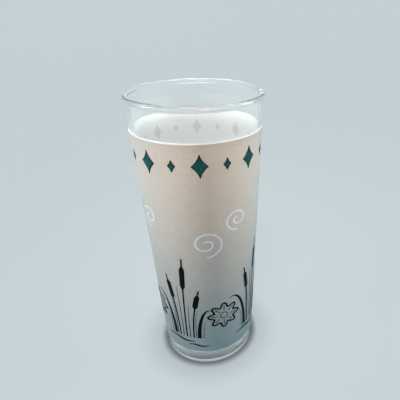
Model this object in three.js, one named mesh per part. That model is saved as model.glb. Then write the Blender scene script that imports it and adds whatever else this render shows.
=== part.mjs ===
// A tall tapered highball glass: a clear tumbler with a beaded rim, a frosted white enamel coat
// fired round its wall, and a print of green, black and white enamel fired on the coat.
// Millimetres, +Z up. The origin is the centre of the foot, on the table.
import * as THREE from "three";

// The tumbler
const HEIGHT = 165; // table to the top of the rim
const WALL_RADIUS_TOP = 35.3; // outside of the tapered wall, carried up to the rim's height
const WALL_RADIUS_FOOT = 28.4; // outside of the tapered wall, carried down to the table
const WALL_THICKNESS = 1.9;
const BEAD_HEIGHT = 2.7; // the rolled bead round the rim
const BEAD_PROJECTION = 0.7; // how far the bead stands out from the wall
const BEAD_LIP = 0.1; // how far the bead stands in from the wall
const NECK_HEIGHT = 0.8; // the hollow curve between wall and bead
const BASE_THICKNESS = 8; // table to the middle of the inside floor
const FLOOR_FILLET = 6; // inside corner of floor and wall
const HEEL_FILLET = 1.2; // outside corner of wall and foot
const BEARING_WIDTH = 3.4; // the flat ring that the glass stands on
const PUNT_DEPTH = 1.2; // hollow of the underside inside that ring

// The frosted coat and the enamel printed on it
const COAT_BELOW_RIM = 16.7; // clear band under the rim
const COAT_ABOVE_TABLE = 10.2; // clear band over the foot
const COAT_THICKNESS = 0.15;
const COAT_LIP = 0.12; // how far the coat's upper edge swells out
const COAT_LIP_HEIGHT = 1.5;
const INK_THICKNESS = 0.12;
const SEAT_GAP = 0.06; // between two layers, so that their facets stay clear of each other

// Green border: a ring of hollow-sided lozenges, large and small by turns
const BORDER_DROP = 11.5; // coat's top edge to the middle of the border
const BORDER_PAIRS = 8;
const LARGE_LOZENGE = { height: 12, halfWidth: 4.3 };
const SMALL_LOZENGE = { height: 6, halfWidth: 2.2 };
const LOZENGE_POINT = 0.3; // half width of a lozenge's tip
const LOZENGE_HOLLOW = 1.7; // over 1 draws the lozenge's sides in

// Black reed clumps, round the lower half
const CLUMPS = 4;
const FIRST_CLUMP_DEGREES = -118;
const GROUND_RISE = 12; // coat's lower edge to the foot of the reeds
const BULRUSHES = [
  { x: -4.5, height: 46, lean: -5 },
  { x: 0, height: 60, lean: 2 },
  { x: 4.5, height: 38, lean: 5 },
];
const STEM_HALF_WIDTH = 0.45;
const HEAD_HALF_WIDTH = 1.5; // the bulrush's seed head
const HEAD_START = 0.68; // shares of the stem's length
const HEAD_END = 0.92;
const HEAD_SHOULDER = 0.05;
const BLADES = [
  { x: -8, height: 44, reach: -12 },
  { x: 8, height: 34, reach: 8 },
];
const BLADE_HALF_WIDTH = 1.15;
const BLADE_TIP = 0.15;
const BLADE_DROOP = 0.35; // share of its height by which a blade's tip bends down

// Black ripples under each clump
const RIPPLES = [
  { x: -5, drop: 3, length: 20, halfWidth: 0.75 },
  { x: 7, drop: 6.5, length: 13, halfWidth: 0.6 },
];
const RIPPLE_WAVE = 0.7;
const RIPPLE_TIP = 0.2;

// Black lilies between the clumps, each one round line with soft petals
const LILY_RISE = 17; // foot of the reeds to the middle of a lily
const LILY_RADIUS = 9.5;
const LILY_PETALS = 8;
const LILY_NOTCH = 3.2; // depth of the hollows between the petals
const LILY_HALF_WIDTH = 0.55;

// White scrolls over the lilies
const SCROLLS = [
  { x: -8, rise: 70, radius: 8.5, turns: 1.6, hand: 1 },
  { x: 8, rise: 82, radius: 6.5, turns: 1.5, hand: -1 },
];
const SCROLL_HALF_WIDTH = 0.55;
const SCROLL_EYE = 0.16; // share of a scroll's radius left at its middle

// Facets
const ROUND_FACETS = 64;
const CURVE_FACETS = 5;
const INK_STEP = 3; // longest facet of a deposit of enamel, along it or across it

const COAT_BOTTOM = COAT_ABOVE_TABLE;
const COAT_TOP = HEIGHT - COAT_BELOW_RIM;
const FULL_TURN = 2 * Math.PI;

const clearGlass = new THREE.MeshStandardMaterial({
  color: 0xe8f2f2,
  roughness: 0.03,
  transparent: true,
  opacity: 0.35,
});
const frostedWhite = new THREE.MeshStandardMaterial({ color: 0xe4ddd2, roughness: 0.55 });
const greenEnamel = new THREE.MeshStandardMaterial({ color: 0x0f4a45, roughness: 0.35 });
const blackEnamel = new THREE.MeshStandardMaterial({ color: 0x10141c, roughness: 0.35 });
const whiteEnamel = new THREE.MeshStandardMaterial({ color: 0xf4f4f0, roughness: 0.3 });

// Radii of the straight taper at a height
function wallRadius(z) {
  return WALL_RADIUS_FOOT + ((WALL_RADIUS_TOP - WALL_RADIUS_FOOT) * z) / HEIGHT;
}

function boreRadius(z) {
  return wallRadius(z) - WALL_THICKNESS;
}

function coatRadius(z) {
  return wallRadius(z) + SEAT_GAP + COAT_THICKNESS;
}

// A closed profile of (radius, height) turned about the glass's axis
function turned(profile) {
  const points = profile.getPoints(CURVE_FACETS);
  return new THREE.LatheGeometry(points, ROUND_FACETS).rotateX(Math.PI / 2);
}

// Foot, wall, bead, bore and floor, from the axis below to the axis above
function tumblerGeometry() {
  const bearingOuter = wallRadius(0) - HEEL_FILLET;
  const bearingInner = bearingOuter - BEARING_WIDTH;
  const floorEdge = BASE_THICKNESS + FLOOR_FILLET;
  const beadMiddle = HEIGHT - BEAD_HEIGHT / 2;
  const beadFoot = HEIGHT - BEAD_HEIGHT;
  const neckFoot = beadFoot - NECK_HEIGHT;
  const beadOuter = wallRadius(beadMiddle) + BEAD_PROJECTION;
  const beadInner = boreRadius(beadMiddle) - BEAD_LIP;
  const beadCentre = (beadOuter + beadInner) / 2;
  const beadHalf = (beadOuter - beadInner) / 2;
  const underBead = -Math.PI / 4; // where the neck runs into the bead
  const neckTopRadius = beadCentre + beadHalf * Math.cos(underBead);
  const neckTop = beadMiddle + (BEAD_HEIGHT / 2) * Math.sin(underBead);

  const profile = new THREE.Path();
  profile.moveTo(0, PUNT_DEPTH);
  profile.quadraticCurveTo(bearingInner / 2, PUNT_DEPTH, bearingInner, 0);
  profile.lineTo(bearingOuter, 0);
  profile.quadraticCurveTo(wallRadius(0), 0, wallRadius(HEEL_FILLET), HEEL_FILLET);
  profile.lineTo(wallRadius(neckFoot), neckFoot);
  profile.quadraticCurveTo(wallRadius(beadFoot), beadFoot, neckTopRadius, neckTop);
  profile.absellipse(beadCentre, beadMiddle, beadHalf, BEAD_HEIGHT / 2, underBead, Math.PI, false, 0);
  profile.quadraticCurveTo(boreRadius(beadFoot), beadFoot, boreRadius(neckFoot), neckFoot);
  profile.lineTo(boreRadius(floorEdge), floorEdge);
  profile.quadraticCurveTo(
    boreRadius(BASE_THICKNESS),
    BASE_THICKNESS,
    boreRadius(BASE_THICKNESS) - FLOOR_FILLET,
    BASE_THICKNESS,
  );
  profile.lineTo(0, BASE_THICKNESS);
  return turned(profile);
}

// A thin sleeve that follows the wall's taper and swells a little at its upper edge
function coatGeometry() {
  const lipFoot = COAT_TOP - COAT_LIP_HEIGHT;
  const lipMiddle = COAT_TOP - COAT_LIP_HEIGHT / 2;
  const profile = new THREE.Path();
  profile.moveTo(coatRadius(COAT_BOTTOM) - COAT_THICKNESS, COAT_BOTTOM);
  profile.lineTo(coatRadius(COAT_BOTTOM), COAT_BOTTOM);
  profile.lineTo(coatRadius(lipFoot), lipFoot);
  const lipCrest = coatRadius(lipMiddle) + 2 * COAT_LIP;
  profile.quadraticCurveTo(lipCrest, lipMiddle, coatRadius(COAT_TOP), COAT_TOP);
  profile.lineTo(coatRadius(COAT_TOP) - COAT_THICKNESS, COAT_TOP);
  profile.closePath();
  return turned(profile);
}

// A point of the print. The place is a bearing and a height on the coat, x and z are
// millimetres to its right and above it, and lift is the distance off the coat.
function onCoat(place, x, z, lift) {
  const height = place.height + z;
  const bearing = place.bearing + x / coatRadius(place.height);
  const radius = coatRadius(height) + lift;
  return [radius * Math.cos(bearing), radius * Math.sin(bearing), height];
}

// One deposit of enamel: a flat bar laid along a line on the coat. The line and the bar's half
// width are functions of a share from 0 to 1, and widest is the largest half width. A line that
// closes runs back into its own start, and any other has two flat ends.
function enamelGeometry(place, { line, halfWidth, widest, length, closes = false }) {
  const steps = 2 * Math.ceil(length / (2 * INK_STEP));
  const stations = closes ? steps : steps + 1;
  const columns = Math.ceil((2 * widest) / INK_STEP);
  const positions = [];
  const triangles = [];
  const ring = 2 * (columns + 1);
  const nudge = 1e-3;
  for (let i = 0; i < stations; i += 1) {
    const share = i / steps;
    const [x, z] = line(share);
    const [backX, backZ] = line(Math.max(0, share - nudge));
    const [aheadX, aheadZ] = line(Math.min(1, share + nudge));
    const run = Math.hypot(aheadX - backX, aheadZ - backZ);
    const acrossX = (aheadZ - backZ) / run;
    const acrossZ = -(aheadX - backX) / run;
    const layers = [SEAT_GAP, SEAT_GAP + INK_THICKNESS];
    layers.forEach((lift, layer) => {
      for (let j = 0; j <= columns; j += 1) {
        const side = (layer === 0 ? j : columns - j) / columns;
        const offset = halfWidth(share) * (2 * side - 1);
        positions.push(...onCoat(place, x + acrossX * offset, z + acrossZ * offset, lift));
      }
    });
  }
  for (let i = 0; i < steps; i += 1) {
    for (let k = 0; k < ring; k += 1) {
      const beside = (k + 1) % ring;
      const here = i * ring;
      const next = ((i + 1) % stations) * ring;
      triangles.push(here + k, next + beside, here + beside, here + k, next + k, next + beside);
    }
  }
  const last = steps * ring;
  for (let j = 0; j < columns && !closes; j += 1) {
    const above = ring - 1 - j;
    triangles.push(j, above - 1, above, j, j + 1, above - 1);
    triangles.push(last + j, last + above, last + above - 1, last + j, last + above - 1, last + j + 1);
  }
  const geometry = new THREE.BufferGeometry();
  geometry.setAttribute("position", new THREE.Float32BufferAttribute(positions, 3));
  geometry.setIndex(triangles);
  geometry.computeVertexNormals();
  return geometry;
}

// Rises from 0 to 1 as the share goes from one edge to the next
function smoothRise(share, from, to) {
  const t = Math.min(1, Math.max(0, (share - from) / (to - from)));
  return t * t * (3 - 2 * t);
}

function lozenge({ height, halfWidth }) {
  return {
    line: (share) => [0, height * (share - 0.5)],
    halfWidth: (share) =>
      LOZENGE_POINT + (halfWidth - LOZENGE_POINT) * (1 - Math.abs(2 * share - 1)) ** LOZENGE_HOLLOW,
    widest: halfWidth,
    length: 2 * height,
  };
}

function bulrush({ x, height, lean }) {
  return {
    line: (share) => [x + lean * share * share, height * share],
    halfWidth: (share) => {
      const head =
        smoothRise(share, HEAD_START - HEAD_SHOULDER, HEAD_START) *
        (1 - smoothRise(share, HEAD_END - HEAD_SHOULDER, HEAD_END));
      return STEM_HALF_WIDTH + (HEAD_HALF_WIDTH - STEM_HALF_WIDTH) * head;
    },
    widest: HEAD_HALF_WIDTH,
    length: height,
  };
}

function blade({ x, height, reach }) {
  return {
    line: (share) => [x + reach * share ** 2, height * (share - BLADE_DROOP * share ** 4)],
    halfWidth: (share) => BLADE_TIP + (BLADE_HALF_WIDTH - BLADE_TIP) * Math.cos((share * Math.PI) / 2),
    widest: BLADE_HALF_WIDTH,
    length: height,
  };
}

function ripple({ x, drop, length, halfWidth }) {
  return {
    line: (share) => [x + length * (share - 0.5), -drop + RIPPLE_WAVE * Math.sin(FULL_TURN * share)],
    halfWidth: (share) => RIPPLE_TIP + (halfWidth - RIPPLE_TIP) * Math.sin(Math.PI * share),
    widest: halfWidth,
    length,
  };
}

function lily() {
  return {
    line: (share) => {
      const swing = FULL_TURN * share;
      const arm = LILY_RADIUS - (LILY_NOTCH * (1 - Math.cos(LILY_PETALS * swing))) / 2;
      return [arm * Math.sin(swing), LILY_RISE + arm * Math.cos(swing)];
    },
    halfWidth: () => LILY_HALF_WIDTH,
    widest: LILY_HALF_WIDTH,
    length: 2 * FULL_TURN * LILY_RADIUS,
    closes: true,
  };
}

function scroll({ x, rise, radius, turns, hand }) {
  return {
    line: (share) => {
      const arm = Math.sqrt(1 - (1 - SCROLL_EYE ** 2) * share); // even steps along the spiral
      const swing = (FULL_TURN * turns * (1 - arm)) / (1 - SCROLL_EYE) - Math.PI / 2;
      return [x + hand * radius * arm * Math.cos(swing), rise + radius * arm * Math.sin(swing)];
    },
    halfWidth: () => SCROLL_HALF_WIDTH,
    widest: SCROLL_HALF_WIDTH,
    length: Math.PI * radius * turns * (1 + SCROLL_EYE),
  };
}

const glass = new THREE.Group();

function addPiece(name, geometry, material) {
  const mesh = new THREE.Mesh(geometry, material);
  mesh.name = name;
  glass.add(mesh);
}

// Adds a set of deposits at one place; their numbers run on from the sets before
function addEnamels(kind, setsBefore, place, shapes, material) {
  shapes.forEach((shape, j) => {
    const number = String(setsBefore * shapes.length + j + 1).padStart(2, "0");
    addPiece(`${kind}_${number}`, enamelGeometry(place, shape), material);
  });
}

addPiece("glass_tumbler", tumblerGeometry(), clearGlass);
addPiece("frosted_coat", coatGeometry(), frostedWhite);

for (let i = 0; i < 2 * BORDER_PAIRS; i += 1) {
  const place = { bearing: (FULL_TURN * i) / (2 * BORDER_PAIRS), height: COAT_TOP - BORDER_DROP };
  const size = i % 2 ? SMALL_LOZENGE : LARGE_LOZENGE;
  addEnamels("green_lozenge", i, place, [lozenge(size)], greenEnamel);
}

for (let i = 0; i < CLUMPS; i += 1) {
  const bearing = THREE.MathUtils.degToRad(FIRST_CLUMP_DEGREES) + (FULL_TURN * i) / CLUMPS;
  const clump = { bearing, height: COAT_BOTTOM + GROUND_RISE };
  const gap = { bearing: bearing + Math.PI / CLUMPS, height: clump.height };
  addEnamels("black_bulrush", i, clump, BULRUSHES.map(bulrush), blackEnamel);
  addEnamels("black_blade", i, clump, BLADES.map(blade), blackEnamel);
  addEnamels("black_ripple", i, clump, RIPPLES.map(ripple), blackEnamel);
  addEnamels("black_lily", i, gap, [lily()], blackEnamel);
  addEnamels("white_scroll", i, gap, SCROLLS.map(scroll), whiteEnamel);
}

export default glass;
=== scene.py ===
"""A highball glass dressed for its portrait: clear tumbler, frosted coat, fired print, plain stage."""

import math
from typing import NamedTuple

import bpy
import numpy as np
from bpy.props import FloatProperty, FloatVectorProperty, IntProperty, PointerProperty
from mathutils import Matrix, Vector


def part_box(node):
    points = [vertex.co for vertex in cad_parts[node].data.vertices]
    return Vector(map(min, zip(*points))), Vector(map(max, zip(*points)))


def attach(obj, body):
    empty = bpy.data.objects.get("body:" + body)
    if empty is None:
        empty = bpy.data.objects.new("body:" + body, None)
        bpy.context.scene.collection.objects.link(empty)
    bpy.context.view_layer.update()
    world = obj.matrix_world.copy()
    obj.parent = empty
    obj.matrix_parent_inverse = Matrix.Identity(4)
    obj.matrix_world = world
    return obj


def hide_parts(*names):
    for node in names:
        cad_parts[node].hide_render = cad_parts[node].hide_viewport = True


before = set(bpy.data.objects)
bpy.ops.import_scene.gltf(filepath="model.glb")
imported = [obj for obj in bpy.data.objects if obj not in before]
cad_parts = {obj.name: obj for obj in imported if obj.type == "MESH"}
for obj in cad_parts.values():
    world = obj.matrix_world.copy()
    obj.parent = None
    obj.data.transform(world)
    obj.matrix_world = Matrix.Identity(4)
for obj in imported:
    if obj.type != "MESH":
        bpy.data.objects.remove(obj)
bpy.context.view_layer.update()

bl_info = {
    "name": "Highball Glass",
    "version": (1, 0, 0),
    "blender": (4, 5, 0),
    "location": "View3D > Sidebar > Highball",
    "description": "Builds a frosted, printed highball glass and a plain stage to see it on",
    "category": "Object",
}

MM = 0.001
FULL_TURN = 2 * math.pi
BODY = "root"
SHARP_ANGLE = math.radians(50)
NO_LIGHT = (0.0, 0.0, 0.0)


# Sizes and colours

class TumblerSizes(bpy.types.PropertyGroup):
    """Sizes of the clear glass"""

    height: FloatProperty(
        name="Height", description="Table to the top of the rim", unit="LENGTH",
        default=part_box("glass_tumbler")[1].z)
    wall_radius_top: FloatProperty(
        name="Wall radius at the rim", description="Outside of the wall, carried up to the rim's height",
        unit="LENGTH", default=35.3 * MM)
    wall_radius_foot: FloatProperty(
        name="Wall radius at the table", description="Outside of the wall, carried down to the table",
        unit="LENGTH", default=28.4 * MM)
    wall: FloatProperty(
        name="Wall", description="Thickness of the wall", unit="LENGTH", default=1.9 * MM)
    bead_height: FloatProperty(
        name="Bead height", description="Height of the rolled bead round the rim", unit="LENGTH",
        default=2.7 * MM)
    bead_projection: FloatProperty(
        name="Bead projection", description="How far the bead stands out from the wall", unit="LENGTH",
        default=0.7 * MM)
    bead_lip: FloatProperty(
        name="Bead lip", description="How far the bead stands in from the wall", unit="LENGTH",
        default=0.1 * MM)
    neck_height: FloatProperty(
        name="Neck height", description="The hollow curve between wall and bead", unit="LENGTH",
        default=0.8 * MM)
    base: FloatProperty(
        name="Base", description="Table to the middle of the inside floor", unit="LENGTH",
        default=8 * MM)
    floor_fillet: FloatProperty(
        name="Floor fillet", description="Inside corner of floor and wall", unit="LENGTH",
        default=6 * MM)
    heel_fillet: FloatProperty(
        name="Heel fillet", description="Outside corner of wall and foot", unit="LENGTH",
        default=1.2 * MM)
    bearing_width: FloatProperty(
        name="Bearing width", description="Width of the flat ring that the glass stands on", unit="LENGTH",
        default=3.4 * MM)
    punt_depth: FloatProperty(
        name="Punt depth", description="Hollow of the underside inside that ring", unit="LENGTH",
        default=1.2 * MM)
    segments: IntProperty(
        name="Segments", description="Faces round the glass", default=288, min=32)


class PrintSizes(bpy.types.PropertyGroup):
    """Sizes of the frosted coat and of the enamel fired on it"""

    coat_bottom: FloatProperty(
        name="Coat's lower edge", description="Height over the table", unit="LENGTH",
        default=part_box("frosted_coat")[0].z)
    coat_top: FloatProperty(
        name="Coat's upper edge", description="Height over the table", unit="LENGTH",
        default=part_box("frosted_coat")[1].z)
    coat_thickness: FloatProperty(
        name="Coat thickness", description="Thickness of the frosted coat", unit="LENGTH",
        default=0.15 * MM)
    coat_bite: FloatProperty(
        name="Coat bite", description="How far the fired coat goes into the skin of the glass",
        unit="LENGTH", default=0.02 * MM)
    coat_lip: FloatProperty(
        name="Coat lip", description="How far the coat's upper edge swells out", unit="LENGTH",
        default=0.12 * MM)
    coat_lip_height: FloatProperty(
        name="Coat lip height", description="Height of that swelling", unit="LENGTH", default=1.5 * MM)
    ink_thickness: FloatProperty(
        name="Ink thickness", description="Thickness of a fired line", unit="LENGTH",
        default=0.12 * MM)
    seat_gap: FloatProperty(
        name="Seat gap", description="Room between two layers", unit="LENGTH", default=0.06 * MM)
    border_drop: FloatProperty(
        name="Border drop", description="Coat's upper edge to the middle of the border", unit="LENGTH",
        default=11.5 * MM)
    lozenge_height: FloatProperty(
        name="Lozenge height", description="Height of a large lozenge", unit="LENGTH", default=12 * MM)
    lozenge_width: FloatProperty(
        name="Lozenge width", description="Width of a large lozenge", unit="LENGTH", default=8.6 * MM)
    lozenge_step: FloatProperty(
        name="Lozenge step", description="A small lozenge's size as a share of a large one's", default=0.5)
    ground_rise: FloatProperty(
        name="Ground rise", description="Coat's lower edge to the foot of the reeds", unit="LENGTH",
        default=12 * MM)
    stem_width: FloatProperty(
        name="Stem width", description="Width of a bulrush's stem", unit="LENGTH", default=0.9 * MM)
    head_width: FloatProperty(
        name="Head width", description="Width of a bulrush's seed head", unit="LENGTH", default=3 * MM)
    blade_width: FloatProperty(
        name="Blade width", description="Width of a blade at its foot", unit="LENGTH", default=2.3 * MM)
    lily_width: FloatProperty(
        name="Lily width", description="Width of a lily's outline", unit="LENGTH", default=1.1 * MM)
    vein_width: FloatProperty(
        name="Vein width", description="Width of the finest black lines", unit="LENGTH", default=0.5 * MM)
    outline_width: FloatProperty(
        name="Outline width", description="Width of the dark edge of a lozenge", unit="LENGTH",
        default=0.55 * MM)
    scroll_width: FloatProperty(
        name="Scroll width", description="Width of a scroll's line", unit="LENGTH", default=1.1 * MM)


class Colours(bpy.types.PropertyGroup):
    """Colours of the glass, its layers and the stage"""

    glass: FloatVectorProperty(
        name="Glass", description="Tint of the clear glass", subtype="COLOR", default=(0.94, 0.97, 0.968))
    # Painted warm shade: frost and frost shade draw the coat's outside warmer and darker than its white.
    frost: FloatVectorProperty(
        name="Frost", description="The frosted coat", subtype="COLOR", default=(0.757, 0.667, 0.563))
    frost_shade: FloatVectorProperty(
        name="Frost shade", description="Clouding in the coat", subtype="COLOR",
        default=(0.682, 0.586, 0.483))
    # Painted light: the coat's inside is drawn lighter and whiter than its outside.
    frost_lit_inside: FloatVectorProperty(
        name="Frost inside", description="The frosted coat, seen through the glass", subtype="COLOR",
        default=(0.93, 0.90, 0.88))
    # Painted shadow: the border's shadow through the thin coat, drawn grey on the coat's inside.
    frost_border_shadow: FloatVectorProperty(
        name="Frost ghost", description="The coat's inside, where the border lies behind it",
        subtype="COLOR", default=(0.70, 0.71, 0.70))
    lip: FloatVectorProperty(
        name="Lip", description="The coat's thick upper edge", subtype="COLOR", default=(0.95, 0.925, 0.89))
    green: FloatVectorProperty(
        name="Green", description="Green enamel", subtype="COLOR", default=(0.012, 0.085, 0.078))
    green_worn: FloatVectorProperty(
        name="Worn green", description="Green enamel where it is thin", subtype="COLOR",
        default=(0.05, 0.17, 0.15))
    black: FloatVectorProperty(
        name="Black", description="Black enamel", subtype="COLOR", default=(0.004, 0.005, 0.008))
    black_worn: FloatVectorProperty(
        name="Worn black", description="Black enamel where it is thin", subtype="COLOR",
        default=(0.012, 0.014, 0.018))
    white: FloatVectorProperty(
        name="White", description="White enamel", subtype="COLOR", default=(0.97, 0.935, 0.89))
    white_worn: FloatVectorProperty(
        name="Worn white", description="White enamel where it is thin", subtype="COLOR",
        default=(0.94, 0.905, 0.86))
    floor: FloatVectorProperty(
        name="Floor", description="The floor and backdrop under the lamps, to the eye", subtype="COLOR",
        default=(0.16, 0.17, 0.175))
    floor_glow: FloatVectorProperty(
        name="Floor glow", description="The floor's own even brightness to the eye", subtype="COLOR",
        default=(0.55, 0.60, 0.615))
    bounce: FloatVectorProperty(
        name="Bounce", description="The floor as it lights the glass", subtype="COLOR",
        default=(0.0, 0.46, 0.78))
    sky: FloatVectorProperty(
        name="Sky", description="The even light all round", subtype="COLOR", default=(0.045, 0.205, 0.29))
    sky_seen: FloatVectorProperty(
        name="Sky seen", description="That light as the eye sees it, also in the glass", subtype="COLOR",
        default=(0.556, 0.632, 0.662))


class StageSizes(bpy.types.PropertyGroup):
    """Where the camera stands and how it looks at the glass"""

    camera_distance: FloatProperty(
        name="Camera distance", description="From the glass's axis, along the floor", unit="LENGTH",
        default=200.52 * MM)
    camera_height: FloatProperty(
        name="Camera height", description="Over the table", unit="LENGTH", default=204.20 * MM)
    camera_tilt: FloatProperty(
        name="Camera tilt", description="Looking down by this angle", subtype="ANGLE",
        default=math.radians(27.206))
    camera_turn: FloatProperty(
        name="Camera turn", description="Looking to the right by this angle", subtype="ANGLE",
        default=math.radians(8.936))
    camera_roll: FloatProperty(
        name="Camera roll", description="Clockwise lean of the camera", subtype="ANGLE",
        default=math.radians(-0.452))
    lens: FloatProperty(
        name="Lens", description="Focal length over a 36 mm frame, in millimetres", default=34.297)
    frame_shift: FloatVectorProperty(
        name="Frame shift", description="Shift of the frame, as shares of its width", size=2,
        default=(-0.1375, 0.0))


class HighballSettings(bpy.types.PropertyGroup):
    """All the sizes and colours of the highball glass"""

    tumbler: PointerProperty(type=TumblerSizes)
    print: PointerProperty(type=PrintSizes)
    colours: PointerProperty(type=Colours)
    stage: PointerProperty(type=StageSizes)


def settings():
    return bpy.context.scene.highball


# Surfaces

def straight(start, end, count):
    """Points of the straight line from start to end, evenly spaced, without the end."""
    share = np.linspace(0, 1, count, endpoint=False)[:, None]
    return (1 - share) * np.array(start) + share * np.array(end)


def bend(start, corner, end, count):
    """Points of the parabola that leaves start towards corner and reaches end from it, without the end."""
    share = np.linspace(0, 1, count, endpoint=False)[:, None]
    start, corner, end = np.array(start), np.array(corner), np.array(end)
    return (1 - share) ** 2 * start + 2 * share * (1 - share) * corner + share**2 * end


def oval(centre, radii, first, last, count):
    """Points of an ellipse from one angle to another: centre + (a cos t, b sin t), without the last."""
    angle = np.linspace(first, last, count, endpoint=False)
    return np.stack([centre[0] + radii[0] * np.cos(angle), centre[1] + radii[1] * np.sin(angle)], axis=1)


def smooth_rise(share, start, end):
    """Rises from 0 at start to 1 at end by 3t^2 - 2t^3."""
    t = np.clip((share - start) / (end - start), 0, 1)
    return t * t * (3 - 2 * t)


def turned(profile):
    """A profile of (radius, height) carried round the axis: (r cos a, r sin a, z) for each angle a."""
    segments = settings().tumbler.segments
    angle = np.arange(segments) * FULL_TURN / segments
    radius, height = profile[:, :1], profile[:, 1:]
    return np.stack([radius * np.cos(angle), radius * np.sin(angle), height + 0 * angle], axis=-1)


class Stack(NamedTuple):
    """Rings of points to be joined in order by quads. edge is each point's distance from the side of its
    printed line or, on the coat, from its outside. In a stack that closes, the last ring joins the
    first."""

    rings: np.ndarray
    edge: np.ndarray
    closes: bool = False

    def faces(self, first):
        """The quads between the rings, and a flat face on each open end, numbered from the first point."""
        index = first + np.arange(self.edge.size).reshape(self.edge.shape)
        lower, upper = (index, np.roll(index, -1, axis=0)) if self.closes else (index[:-1], index[1:])
        corners = [lower, np.roll(lower, -1, axis=1), np.roll(upper, -1, axis=1), upper]
        quads = np.stack(corners, axis=-1).reshape(-1, 4).tolist()
        ends = [] if self.closes else [index[0, ::-1].tolist(), index[-1].tolist()]
        return quads + ends


def lofted(name, stacks):
    """One mesh of some stacks of rings."""
    points, edges, faces = [], [], []
    first = 0
    for stack in stacks:
        points.append(stack.rings.reshape(-1, 3))
        edges.append(stack.edge.ravel())
        faces += stack.faces(first)
        first += stack.edge.size
    mesh = bpy.data.meshes.new(name)
    mesh.from_pydata(np.concatenate(points).tolist(), [], faces)
    mesh.polygons.foreach_set("use_smooth", np.ones(len(faces), dtype=bool))
    mesh.set_sharp_from_angle(angle=SHARP_ANGLE)
    mesh.attributes.new("edge", "FLOAT", "POINT").data.foreach_set("value", np.concatenate(edges))
    piece = bpy.data.objects.new(name, mesh)
    bpy.context.scene.collection.objects.link(piece)
    return piece


def seat(piece, finish, node=None):
    """Gives a piece its finish and, where it stands for a node, takes that node's place."""
    piece.data.materials.append(finish)
    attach(piece, BODY)
    if node:
        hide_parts(node)


def wall_radius(z):
    """Outside of the wall at a height: a straight taper from the foot to the rim."""
    t = settings().tumbler
    return t.wall_radius_foot + (t.wall_radius_top - t.wall_radius_foot) * z / t.height


def coat_radius(z):
    """Outside of the frosted coat at a height."""
    sizes = settings().print
    return wall_radius(z) + sizes.seat_gap + sizes.coat_thickness


def tumbler_profile():
    """The glass's half section, from the axis under the foot, up the outside, over the bead, down the bore
    and in along the floor: parabolas at punt, heel, neck and floor, an ellipse at the bead."""
    t = settings().tumbler
    bore = lambda z: wall_radius(z) - t.wall
    outer = lambda z: (wall_radius(z), z)
    inner = lambda z: (bore(z), z)
    near_axis = 0.2 * MM
    bearing_outer = wall_radius(0) - t.heel_fillet
    bearing_inner = bearing_outer - t.bearing_width
    middle = t.height - t.bead_height / 2
    bead_foot = t.height - t.bead_height
    neck_foot = bead_foot - t.neck_height
    bead_outer = wall_radius(middle) + t.bead_projection
    bead_inner = bore(middle) - t.bead_lip
    centre = ((bead_outer + bead_inner) / 2, middle)
    radii = ((bead_outer - bead_inner) / 2, t.bead_height / 2)
    under = -math.pi / 4
    neck_top = (centre[0] + radii[0] * math.cos(under), centre[1] + radii[1] * math.sin(under))
    floor_edge = t.base + t.floor_fillet
    floor_rim = (bore(t.base) - t.floor_fillet, t.base)
    return np.concatenate([
        bend((near_axis, t.punt_depth), (bearing_inner / 2, t.punt_depth), (bearing_inner, 0), 24),
        straight((bearing_inner, 0), (bearing_outer, 0), 4),
        bend((bearing_outer, 0), outer(0), outer(t.heel_fillet), 16),
        straight(outer(t.heel_fillet), outer(neck_foot), 48),
        bend(outer(neck_foot), outer(bead_foot), neck_top, 10),
        oval(centre, radii, under, math.pi, 40),
        bend((bead_inner, middle), inner(bead_foot), inner(neck_foot), 10),
        straight(inner(neck_foot), inner(floor_edge), 48),
        bend(inner(floor_edge), inner(t.base), floor_rim, 20),
        straight(floor_rim, (near_axis, t.base), 10),
    ])


def coat_profile():
    """The coat's section, a thin slanted bar: up its outside, over a lip that swells by a parabola, and
    down its inside, which is melted into the skin of the glass."""
    sizes = settings().print
    bottom, top = sizes.coat_bottom, sizes.coat_top
    lip_foot = top - sizes.coat_lip_height
    lip_middle = top - sizes.coat_lip_height / 2
    lip_crest = (coat_radius(lip_middle) + 2 * sizes.coat_lip, lip_middle)
    outside = lambda z: (coat_radius(z), z)
    inside = lambda z: (wall_radius(z) - sizes.coat_bite, z)
    return np.concatenate([
        straight(inside(bottom), outside(bottom), 2),
        straight(outside(bottom), outside(lip_foot), 40),
        bend(outside(lip_foot), lip_crest, outside(top), 8),
        straight(outside(top), inside(top), 2),
        straight(inside(top), inside(bottom), 40),
    ])


def enamel_bar(place, x, z, half_width, columns=6, closes=False):
    """A crowned bar along a line on the coat. The place is a bearing and a height, and the line's x and z
    are lengths to its right and above it. Each station spreads half_width to both sides of the line, square
    to it, and the top is thinner towards the edges by the square of the distance from the line."""
    sizes = settings().print
    bearing, height = place
    if closes:
        run_x, run_z = np.roll(x, -1) - np.roll(x, 1), np.roll(z, -1) - np.roll(z, 1)
    else:
        run_x, run_z = np.gradient(x), np.gradient(z)
    run = np.hypot(run_x, run_z)
    side = np.linspace(1, -1, columns + 1)
    offset = half_width[:, None] * side
    flat_x = x[:, None] + (run_z / run)[:, None] * offset
    flat_z = z[:, None] - (run_x / run)[:, None] * offset + height
    thinning = 0.5
    crown = sizes.ink_thickness * (1 - thinning * side**2)
    angle = bearing + flat_x / coat_radius(height)
    under = coat_radius(flat_z) + sizes.seat_gap
    there_and_back = lambda low, high: np.concatenate([low, high[:, ::-1]], axis=1)
    angles = there_and_back(angle, angle)
    radii = there_and_back(under, under + crown)
    heights = there_and_back(flat_z, flat_z)
    rings = np.stack([radii * np.cos(angles), radii * np.sin(angles), heights], axis=-1)
    edge = half_width[:, None] - np.abs(offset)
    return Stack(rings, there_and_back(edge, edge), closes)


# Motifs of the print, in millimetres

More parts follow.
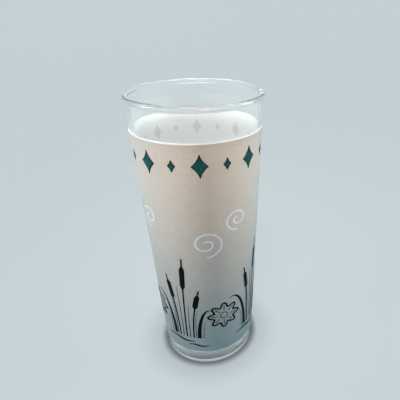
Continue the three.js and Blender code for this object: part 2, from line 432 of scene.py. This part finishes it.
class Lozenge(NamedTuple):
    """A hollow-sided lozenge"""

    height: float
    width: float
    hollow: float = 1.7

    def bar(self, place):
        """An upright line whose half width falls from the middle to both tips by a power over 1."""
        share = np.linspace(0, 1, 49)
        point = 0.3
        half = point + (self.width / 2 - point) * (1 - np.abs(2 * share - 1)) ** self.hollow
        return enamel_bar(place, 0 * share, self.height * (share - 0.5) * MM, half * MM, columns=12)


BORDER_PAIRS = 8


def border_shapes():
    """The large and the small lozenge of the border."""
    sizes = settings().print
    large = Lozenge(sizes.lozenge_height / MM, sizes.lozenge_width / MM)
    return large, Lozenge(large.height * sizes.lozenge_step, large.width * sizes.lozenge_step)


class Bulrush(NamedTuple):
    """A stem with a seed head"""

    x: float
    height: float
    lean: float

    def bar(self, place):
        """A line that leans by the square of its rise and swells smoothly where the head is."""
        sizes = settings().print
        share = np.linspace(0, 1, 81)
        start, end, shoulder = 0.68, 0.92, 0.05
        head = smooth_rise(share, start - shoulder, start) * (1 - smooth_rise(share, end - shoulder, end))
        half = (sizes.stem_width + (sizes.head_width - sizes.stem_width) * head) / 2
        return enamel_bar(place, (self.x + self.lean * share**2) * MM, self.height * share * MM, half)


class Blade(NamedTuple):
    """A broad leaf with a drooping tip"""

    x: float
    height: float
    reach: float

    def bar(self, place):
        """A line that reaches out by the square of the share and droops by its fourth power, narrowing as a
        cosine."""
        share = np.linspace(0, 1, 61)
        tip, droop = 0.15 * MM, 0.35
        half = tip + (settings().print.blade_width / 2 - tip) * np.cos(share * math.pi / 2)
        rise = self.height * (share - droop * share**4)
        return enamel_bar(place, (self.x + self.reach * share**2) * MM, rise * MM, half)


class Grass(NamedTuple):
    """A fine stalk"""

    x: float
    height: float
    lean: float

    def bar(self, place):
        """A line that leans by the cube of its rise and narrows evenly to its tip."""
        share = np.linspace(0, 1, 41)
        narrowing = 0.7
        half = settings().print.vein_width / 2 * (1 - narrowing * share)
        x, z = self.x + self.lean * share**3, self.height * share
        return enamel_bar(place, x * MM, z * MM, half, columns=4)


class Ripple(NamedTuple):
    """A ripple of water"""

    x: float
    drop: float
    length: float
    width: float

    def bar(self, place):
        """One wave of a sine along a level line, widest at its middle by another sine."""
        share = np.linspace(0, 1, 61)
        tip, wave = 0.2, 0.7
        half = tip + (self.width / 2 - tip) * np.sin(math.pi * share)
        x = self.x + self.length * (share - 0.5)
        return enamel_bar(place, x * MM, (wave * np.sin(FULL_TURN * share) - self.drop) * MM, half * MM)


class Scroll(NamedTuple):
    """A spiral curl"""

    x: float
    rise: float
    radius: float
    turns: float
    hand: int

    def bar(self, place):
        """A spiral whose arm shrinks in step with its turning, in even steps along its length."""
        share = np.linspace(0, 1, 121)
        eye = 0.16
        arm = np.sqrt(1 - (1 - eye**2) * share)
        swing = FULL_TURN * self.turns * (1 - arm) / (1 - eye) - math.pi / 2
        x = self.x + self.hand * self.radius * arm * np.cos(swing)
        z = self.rise + self.radius * arm * np.sin(swing)
        return enamel_bar(place, x * MM, z * MM, 0 * share + settings().print.scroll_width / 2)


class Lily(NamedTuple):
    """A round flower"""

    rise: float
    radius: float
    petals: int
    notch: float

    def bar(self, place):
        """A closed line about the middle, drawn in by half of notch times one less the cosine of petals
        times the angle."""
        swing = np.linspace(0, FULL_TURN, 320, endpoint=False)
        arm = self.radius - self.notch * (1 - np.cos(self.petals * swing)) / 2
        return self.loop(place, swing, arm, settings().print.lily_width)

    def loop(self, place, swing, arm, width):
        x, z = arm * np.sin(swing), self.rise + arm * np.cos(swing)
        return enamel_bar(place, x * MM, z * MM, 0 * swing + width / 2, columns=4, closes=True)

    def veins(self, place):
        """A small ring about the middle, and from it a straight line into each petal."""
        width = settings().print.vein_width
        heart, start, end = 0.24 * self.radius, 0.4 * self.radius, 0.8 * self.radius
        bars = [self.loop(place, np.linspace(0, FULL_TURN, 64, endpoint=False), np.full(64, heart), width)]
        arm = np.linspace(start, end, 9)
        for swing in FULL_TURN * np.arange(self.petals) / self.petals:
            x, z = arm * math.sin(swing), self.rise + arm * math.cos(swing)
            bars.append(enamel_bar(place, x * MM, z * MM, 0 * arm + width / 2, columns=4))
        return bars


# Finishes

class Value:
    """An output socket, with arithmetic: an expression adds its Math nodes"""

    def __init__(self, finish, socket):
        self.finish = finish
        self.socket = socket

    def math(self, operation, first, second):
        node = self.finish.node("ShaderNodeMath", {"operation": operation}, {0: first, 1: second})
        return self.finish.value(node)

    def __add__(self, other):
        return self.math("ADD", self, other)

    def __radd__(self, other):
        return self.math("ADD", other, self)

    def __sub__(self, other):
        return self.math("SUBTRACT", self, other)

    def __rsub__(self, other):
        return self.math("SUBTRACT", other, self)

    def __mul__(self, other):
        return self.math("MULTIPLY", self, other)

    def __rmul__(self, other):
        return self.math("MULTIPLY", other, self)


class Finish:
    """A node tree to which nodes are added by type, settings and inputs"""

    def __init__(self, tree):
        self.tree = tree
        tree.nodes.clear()

    def node(self, kind, options=None, inputs=None):
        made = self.tree.nodes.new(kind)
        for option, setting in (options or {}).items():
            setattr(made, option, setting)
        for socket, given in (inputs or {}).items():
            if isinstance(given, Value):
                self.tree.links.new(given.socket, made.inputs[socket])
            else:
                made.inputs[socket].default_value = given
        return made

    def value(self, node, output=0):
        return Value(self, node.outputs[output])

    def edge(self):
        """Distance from the side of a printed line, or from the outside of the coat."""
        return self.value(self.node("ShaderNodeAttribute", {"attribute_name": "edge"}), "Fac")

    def noise(self, scale, detail=3.0):
        """Even noise over the piece, with grains of about 1 / scale metres."""
        place = self.value(self.node("ShaderNodeTexCoord"), "Object")
        inputs = {"Vector": place, "Scale": scale, "Detail": detail}
        return self.value(self.node("ShaderNodeTexNoise", {}, inputs), "Fac")

    def height(self):
        """Height over the table."""
        place = self.value(self.node("ShaderNodeTexCoord"), "Object")
        return self.value(self.node("ShaderNodeSeparateXYZ", {}, {0: place}), "Z")

    def reach(self):
        """Distance from the middle of the table."""
        place = self.value(self.node("ShaderNodeTexCoord"), "Object")
        return self.value(self.node("ShaderNodeVectorMath", {"operation": "LENGTH"}, {0: place}), "Value")

    def angle(self):
        """Angle round the axis."""
        place = self.value(self.node("ShaderNodeTexCoord"), "Object")
        axes = self.node("ShaderNodeSeparateXYZ", {}, {0: place})
        x, y = self.value(axes, "X"), self.value(axes, "Y")
        return y.math("ARCTAN2", y, x)

    def waves(self, count):
        """A sine with so many waves round the axis."""
        angle = self.angle()
        return angle.math("SINE", count * angle, 0.0)

    def seen(self):
        """1 for what the eye sees, also in the glass, and 0 for light on its way to a dull surface."""
        path = self.node("ShaderNodeLightPath")
        kinds = ("Is Camera Ray", "Is Glossy Ray", "Is Transmission Ray")
        return sum(self.value(path, kind) for kind in kinds)

    def ramp(self, value, start, end):
        """0 under start, 1 over end, smooth between."""
        inputs = {"Value": value, "From Min": start, "From Max": end}
        return self.value(self.node("ShaderNodeMapRange", {"interpolation_type": "SMOOTHSTEP"}, inputs))

    def mix(self, share, first, second):
        """A colour between two colours."""
        first, second = (given if isinstance(given, Value) else (*given, 1.0) for given in (first, second))
        inputs = {0: share, 6: first, 7: second}
        return self.value(self.node("ShaderNodeMix", {"data_type": "RGBA"}, inputs), 2)

    def bump(self, height, distance, strength):
        inputs = {"Height": height, "Distance": distance, "Strength": strength}
        return self.value(self.node("ShaderNodeBump", {}, inputs))

    def surface(self, **inputs):
        """Closes the material with one Principled surface."""
        named = {key.replace("_", " "): given for key, given in inputs.items()}
        shader = self.value(self.node("ShaderNodeBsdfPrincipled", {}, named))
        self.node("ShaderNodeOutputMaterial", {}, {"Surface": shader})


def new_finish(name):
    material = bpy.data.materials.new(name)
    material.use_nodes = True
    return material, Finish(material.node_tree)


def clear_glass():
    """Pressed clear glass: faint smears in its polish, a fine ripple and low waves in its bead, and a matt
    underside within the ring that it stands on."""
    material, finish = new_finish("clear_glass")
    tumbler = settings().tumbler
    smears = finish.ramp(finish.noise(60, 4), 0.52, 0.75)
    bead_foot = tumbler.height - tumbler.bead_height
    bead = finish.ramp(finish.height(), bead_foot, bead_foot + tumbler.bead_height / 2)
    ripple = bead * (0.15 * finish.noise(520, 2) + 0.3 * finish.waves(150))
    ring = tumbler.wall_radius_foot - tumbler.heel_fillet
    within = 1 - finish.ramp(finish.reach(), ring - tumbler.bearing_width, ring)
    underside = within * (1 - finish.ramp(finish.height(), tumbler.punt_depth, 2 * tumbler.punt_depth))
    polished, smeared, matt = 0.004, 0.02, 0.2
    finish.surface(
        Base_Color=(*settings().colours.glass, 1.0),
        Roughness=polished + smeared * smears + matt * underside,
        IOR=1.5,
        Transmission_Weight=0.95,
        Normal=finish.bump(ripple, 0.25 * MM, 0.25))
    return material


def border_shadow_mask(finish, shape, shift):
    """1 where a lozenge of the border lies behind the coat, and 0 elsewhere: where the border's painted
    shadow goes on the coat's inside. A point is in the lozenge where |2x / width| ^ (1 / hollow) + |2z /
    height| is under 1. Its angle is folded at every lozenge and halfway between two, and shift is the
    bearing of the first of them."""
    sizes = settings().print
    middle = sizes.coat_top - sizes.border_drop
    angle = finish.angle() - shift
    x = angle.math("PINGPONG", angle, math.pi / BORDER_PAIRS) * coat_radius(middle)
    across = x.math("POWER", x * (2 / (shape.width * MM)), 1 / shape.hollow)
    z = finish.height() - middle
    upward = z.math("ABSOLUTE", z * (2 / (shape.height * MM)), 0.0)
    return 1 - finish.ramp(across + upward, 0.75, 1.0)


def frosted_enamel():
    """Thin white enamel with painted light and shade: its outside is drawn warmer and darker, as warm
    shade, and its inside lighter. It is cloudy in tone, finely mottled and whiter along its lip. It
    scatters light within, and on its inside the border behind it is painted as a grey shadow."""
    material, finish = new_finish("frosted_enamel")
    colours = settings().colours
    clouds = finish.ramp(finish.noise(38, 5), 0.3, 0.75)
    mottle = finish.ramp(finish.noise(620, 3), 0.35, 0.7)
    grain = finish.noise(2600, 2)
    outside = finish.mix(0.45 * clouds + 0.45 * mottle, colours.frost, colours.frost_shade)
    sizes = settings().print
    lip_start, lip_full = sizes.coat_top - 0.9 * MM, sizes.coat_top - 0.5 * MM
    outside = finish.mix(finish.ramp(finish.height(), lip_start, lip_full), outside, colours.lip)
    # Lit and shaded copies of the coat: painted warm shade on its outside, painted lighter light on its
    # inside.
    depth = finish.ramp(finish.edge(), 0.2 * sizes.coat_thickness, 0.8 * sizes.coat_thickness)
    large, small = border_shapes()
    # Painted shadow of the border on the coat's inside.
    ghost = border_shadow_mask(finish, large, 0.0) + border_shadow_mask(finish, small, math.pi / BORDER_PAIRS)
    inside = finish.mix(ghost, colours.frost_lit_inside, colours.frost_border_shadow)
    finish.surface(
        Base_Color=finish.mix(depth, outside, inside),
        Roughness=0.5 + 0.16 * grain,
        Specular_IOR_Level=0.3,
        Sheen_Weight=0.25,
        Sheen_Roughness=0.45,
        Subsurface_Weight=0.6,
        Subsurface_Radius=(1.0, 1.0, 1.0),
        Subsurface_Scale=0.3 * MM,
        Normal=finish.bump(grain, 0.05 * MM, 0.3))
    return material


def fired_enamel(name, colour, worn, outline=None):
    """A fired line: denser and thinner by patches, with a slightly uneven, nearly glossless face and, where
    it has an outline, another colour along its sides."""
    material, finish = new_finish(name)
    patches = finish.ramp(finish.noise(700, 4), 0.45, 0.8)
    grain = finish.noise(1800, 2)
    tone = finish.mix(patches, colour, worn)
    if outline:
        width = settings().print.outline_width
        tone = finish.mix(finish.ramp(finish.edge(), 0.9 * width, 1.1 * width), outline, tone)
    finish.surface(
        Base_Color=tone,
        Roughness=0.3 + 0.2 * grain,
        Specular_IOR_Level=0.04,
        Normal=finish.bump(grain, 0.04 * MM, 0.4))
    return material


# Pieces

class HIGHBALL_OT_tumbler(bpy.types.Operator):
    """Turn the clear glass tumbler"""

    bl_idname = "highball.tumbler"
    bl_label = "Clear tumbler"

    def execute(self, context):
        rings = turned(tumbler_profile())
        piece = lofted("clear_tumbler", [Stack(rings, 0 * rings[..., 0])])
        # Light falls through clear glass, so only the coat and the print throw a shadow.
        piece.visible_shadow = False
        seat(piece, clear_glass(), "glass_tumbler")
        return {"FINISHED"}


class HIGHBALL_OT_coat(bpy.types.Operator):
    """Fire the frosted coat round the wall"""

    bl_idname = "highball.coat"
    bl_label = "Frosted coat"

    def execute(self, context):
        rings = turned(coat_profile())
        radius, height = np.hypot(rings[..., 0], rings[..., 1]), rings[..., 2]
        piece = lofted("frosted_sleeve", [Stack(rings, coat_radius(height) - radius, closes=True)])
        seat(piece, frosted_enamel(), "frosted_coat")
        return {"FINISHED"}


class HIGHBALL_OT_border(bpy.types.Operator):
    """Print the green border of hollow-sided lozenges, large and small by turns"""

    bl_idname = "highball.border"
    bl_label = "Green border"

    def execute(self, context):
        sizes, colours = settings().print, settings().colours
        finish = fired_enamel("green_enamel", colours.green, colours.green_worn, colours.black)
        large, small = border_shapes()
        for i in range(2 * BORDER_PAIRS):
            place = (FULL_TURN * i / (2 * BORDER_PAIRS), sizes.coat_top - sizes.border_drop)
            shape = small if i % 2 else large
            piece = lofted(f"lozenge_{i + 1:02d}", [shape.bar(place)])
            seat(piece, finish, f"green_lozenge_{i + 1:02d}")
        return {"FINISHED"}


CLUMPS = 4
FIRST_CLUMP = math.radians(-118)
BULRUSHES = (Bulrush(-4.5, 46, -5), Bulrush(0, 60, 2), Bulrush(4.5, 38, 5))
BLADES = (Blade(-8, 44, -12), Blade(8, 34, 8))
RIPPLES = (Ripple(-5, 3, 20, 1.5), Ripple(7, 6.5, 13, 1.2))
GRASSES = (
    Grass(-10.4, 17, -2.6), Grass(-6.2, 30, -1.4), Grass(-2.2, 39, -0.9), Grass(2.2, 26, 0.8),
    Grass(6.2, 21, 1.2), Grass(10.6, 13, 1.6))
LILY = Lily(17, 9.5, 8, 3.2)
SCROLLS = (Scroll(-8, 70, 8.5, 1.6, 1), Scroll(8, 82, 6.5, 1.5, -1))


def clump_place(i, shift=0.0):
    """Bearing and height of the foot of a clump, or of a gap that many clumps further round."""
    sizes = settings().print
    return FIRST_CLUMP + FULL_TURN * (i + shift) / CLUMPS, sizes.coat_bottom + sizes.ground_rise


def print_motifs(kind, node_kind, motifs, i, place, finish):
    """Prints one clump's or gap's motifs of a kind, each in place of its node."""
    for j, motif in enumerate(motifs):
        number = f"{i * len(motifs) + j + 1:02d}"
        piece = lofted(f"{kind}_{number}", [motif.bar(place)])
        seat(piece, finish, f"{node_kind}_{number}")


class HIGHBALL_OT_reeds(bpy.types.Operator):
    """Print the black bulrushes, blades, grasses, ripples and lilies"""

    bl_idname = "highball.reeds"
    bl_label = "Black reeds"

    def execute(self, context):
        colours = settings().colours
        finish = fired_enamel("black_enamel", colours.black, colours.black_worn)
        for i in range(CLUMPS):
            clump, gap = clump_place(i), clump_place(i, 0.5)
            print_motifs("bulrush", "black_bulrush", BULRUSHES, i, clump, finish)
            print_motifs("blade", "black_blade", BLADES, i, clump, finish)
            print_motifs("ripple", "black_ripple", RIPPLES, i, clump, finish)
            print_motifs("lily", "black_lily", [LILY], i, gap, finish)
            grass = lofted(f"grass_{i + 1:02d}", [stalk.bar(clump) for stalk in GRASSES])
            seat(grass, finish)
            veins = lofted(f"lily_veins_{i + 1:02d}", LILY.veins(gap))
            seat(veins, finish)
        return {"FINISHED"}


class HIGHBALL_OT_scrolls(bpy.types.Operator):
    """Print the white scrolls over the lilies"""

    bl_idname = "highball.scrolls"
    bl_label = "White scrolls"

    def execute(self, context):
        colours = settings().colours
        finish = fired_enamel("white_enamel", colours.white, colours.white_worn)
        for i in range(CLUMPS):
            gap = clump_place(i, 0.5)
            print_motifs("scroll", "white_scroll", SCROLLS, i, gap, finish)
        return {"FINISHED"}


# Stage

def sweep_surface():
    """A floor that turns up into a backdrop: flat along y, then a quarter circle, then upright."""
    front, back, radius, top, half_width = -1.5, 1.1, 0.6, 2.4, 3.0
    arc = np.linspace(0, math.pi / 2, 24)
    y = np.concatenate([[front], back + radius * np.sin(arc), [back + radius]])
    z = np.concatenate([[0.0], radius * (1 - np.cos(arc)), [top]])
    x = np.array([-half_width, half_width])
    grid = np.stack(np.broadcast_arrays(x[None, :], y[:, None], z[:, None]), axis=-1)
    index = np.arange(grid.shape[0] * 2).reshape(-1, 2)
    corners = [index[:-1, 0], index[:-1, 1], index[1:, 1], index[1:, 0]]
    mesh = bpy.data.meshes.new("floor")
    mesh.from_pydata(grid.reshape(-1, 3).tolist(), [], np.stack(corners, axis=-1).tolist())
    mesh.polygons.foreach_set("use_smooth", np.ones(len(mesh.polygons), dtype=bool))
    floor = bpy.data.objects.new("floor", mesh)
    bpy.context.scene.collection.objects.link(floor)
    return floor


def floor_finish():
    """Pale paper, evenly bright to the eye and in the glass, and cooler and deeper in the light that it
    throws back. A shadow is painted into its glow: dimmer near the foot, with a soft dark ring close round
    it, and dimmer still under the punt."""
    material, finish = new_finish("floor_paper")
    colours = settings().colours
    foot = settings().tumbler.wall_radius_foot
    reach = finish.reach()
    # Painted shadow round the foot: a soft dark ring, dimmer under the punt and dimmer near the foot.
    ring = finish.ramp(reach, 0.96 * foot, foot) - finish.ramp(reach, foot, 1.2 * foot)
    far = finish.ramp(reach, foot, 1.8 * foot)
    punt = 1 - finish.ramp(reach, 0.7 * foot, 0.85 * foot)
    contact_shadow_depth, punt_shadow_depth, near_shadow_level = 0.8, 0.6, 0.75
    shade = (1 - contact_shadow_depth * ring - punt_shadow_depth * punt) * (near_shadow_level + (1 - near_shadow_level) * far)
    glow = finish.mix(shade, NO_LIGHT, colours.floor_glow)
    finish.surface(
        Base_Color=finish.mix(finish.seen(), colours.bounce, colours.floor),
        Roughness=0.9,
        Specular_IOR_Level=0.0,
        Emission_Color=finish.mix(finish.seen(), NO_LIGHT, glow),
        Emission_Strength=1.0)
    return material


class Lamp(NamedTuple):
    """A soft oval lamp that faces the glass's axis at a height, with the spread of its beam in degrees. A
    lamp for clear glass is mirrored in it and seen through it, and leaves dull surfaces alone. The others
    light dull surfaces and are mirrored, but aren't seen through the glass."""

    name: str
    place: tuple
    aim: float
    size: tuple
    spread: float
    power: float
    colour: tuple
    for_glass: bool = False

    def light(self):
        data = bpy.data.lights.new(self.name, "AREA")
        data.shape = "ELLIPSE"
        data.size, data.size_y = self.size
        data.spread = math.radians(self.spread)
        data.energy = self.power
        data.color = self.colour
        made = bpy.data.objects.new(self.name, data)
        made.location = self.place
        made.rotation_euler = (Vector((0, 0, self.aim)) - made.location).to_track_quat("-Z", "Y").to_euler()
        made.visible_diffuse = not self.for_glass
        made.visible_transmission = self.for_glass
        bpy.context.scene.collection.objects.link(made)


LAMPS = (
    Lamp("overhead_lamp", (-0.12, -0.40, 0.75), 0.18, (0.20, 0.20), 30, 0.070, (1.0, 0.98, 0.95)),
    Lamp("front_lamp", (0.13, -0.60, 0.17), 0.19, (0.20, 0.20), 30, 0.057, (1.0, 0.64, 0.40)),
    Lamp("left_lamp", (-0.55, -0.10, 0.16), 0.15, (0.16, 0.16), 34, 0.086, (0.95, 0.99, 1.0)),
    Lamp("right_lamp", (0.55, 0.0, 0.16), 0.15, (0.16, 0.16), 34, 0.080, (0.90, 0.99, 1.0)),
    Lamp("back_lamp", (0.0, 0.55, 0.10), 0.13, (0.20, 0.20), 36, 0.10, (1.0, 0.98, 0.96)),
    Lamp("glint_lamp", (0.0, 0.25, 0.90), 0.16, (1.2, 0.35), 180, 5.0, (1.0, 1.0, 1.0), for_glass=True),
    Lamp("rim_lamp", (0.0, -0.45, 0.80), 0.16, (0.9, 0.22), 180, 2.5, (1.0, 1.0, 1.0), for_glass=True),
)


class HIGHBALL_OT_stage(bpy.types.Operator):
    """Set the floor, the lamps and the camera"""

    bl_idname = "highball.stage"
    bl_label = "Stage"

    def execute(self, context):
        stage = settings().stage
        scene = context.scene
        floor = sweep_surface()
        floor.data.materials.append(floor_finish())
        for lamp in LAMPS:
            lamp.light()

        world = bpy.data.worlds.new("studio_air")
        world.use_nodes = True
        air = Finish(world.node_tree)
        dim, pale = (
            air.value(air.node("ShaderNodeBackground", {}, {"Color": (*colour, 1.0), "Strength": 1.0}))
            for colour in (settings().colours.sky, settings().colours.sky_seen))
        sky = air.node("ShaderNodeMixShader", {}, {0: air.seen(), 1: dim, 2: pale})
        air.node("ShaderNodeOutputWorld", {}, {"Surface": air.value(sky)})
        scene.world = world

        data = bpy.data.cameras.new("portrait_camera")
        data.sensor_width = 36
        data.lens = stage.lens
        data.shift_x, data.shift_y = stage.frame_shift
        data.clip_start = 0.01
        camera = bpy.data.objects.new("portrait_camera", data)
        camera.matrix_world = (
            Matrix.Translation((0, -stage.camera_distance, stage.camera_height))
            @ Matrix.Rotation(-stage.camera_turn, 4, "Z")
            @ Matrix.Rotation(math.pi / 2 - stage.camera_tilt, 4, "X")
            @ Matrix.Rotation(-stage.camera_roll, 4, "Z"))
        scene.collection.objects.link(camera)
        scene.camera = camera
        scene.view_settings.view_transform = "Standard"
        return {"FINISHED"}


class HIGHBALL_PT_panel(bpy.types.Panel):
    """The highball glass, piece by piece"""

    bl_idname = "HIGHBALL_PT_panel"
    bl_label = "Highball Glass"
    bl_space_type = "VIEW_3D"
    bl_region_type = "UI"
    bl_category = "Highball"

    def draw(self, context):
        for operator in OPERATORS:
            self.layout.operator(operator.bl_idname)


OPERATORS = (
    HIGHBALL_OT_tumbler,
    HIGHBALL_OT_coat,
    HIGHBALL_OT_border,
    HIGHBALL_OT_reeds,
    HIGHBALL_OT_scrolls,
    HIGHBALL_OT_stage,
)
GROUPS = (TumblerSizes, PrintSizes, Colours, StageSizes, HighballSettings)


def register():
    for cls in GROUPS + OPERATORS + (HIGHBALL_PT_panel,):
        bpy.utils.register_class(cls)
    bpy.types.Scene.highball = PointerProperty(type=HighballSettings)


def unregister():
    del bpy.types.Scene.highball
    for cls in reversed(GROUPS + OPERATORS + (HIGHBALL_PT_panel,)):
        bpy.utils.unregister_class(cls)


def main():
    register()
    bpy.ops.highball.tumbler()
    bpy.ops.highball.coat()
    bpy.ops.highball.border()
    bpy.ops.highball.reeds()
    bpy.ops.highball.scrolls()
    bpy.ops.highball.stage()


if __name__ == "__main__":
    main()
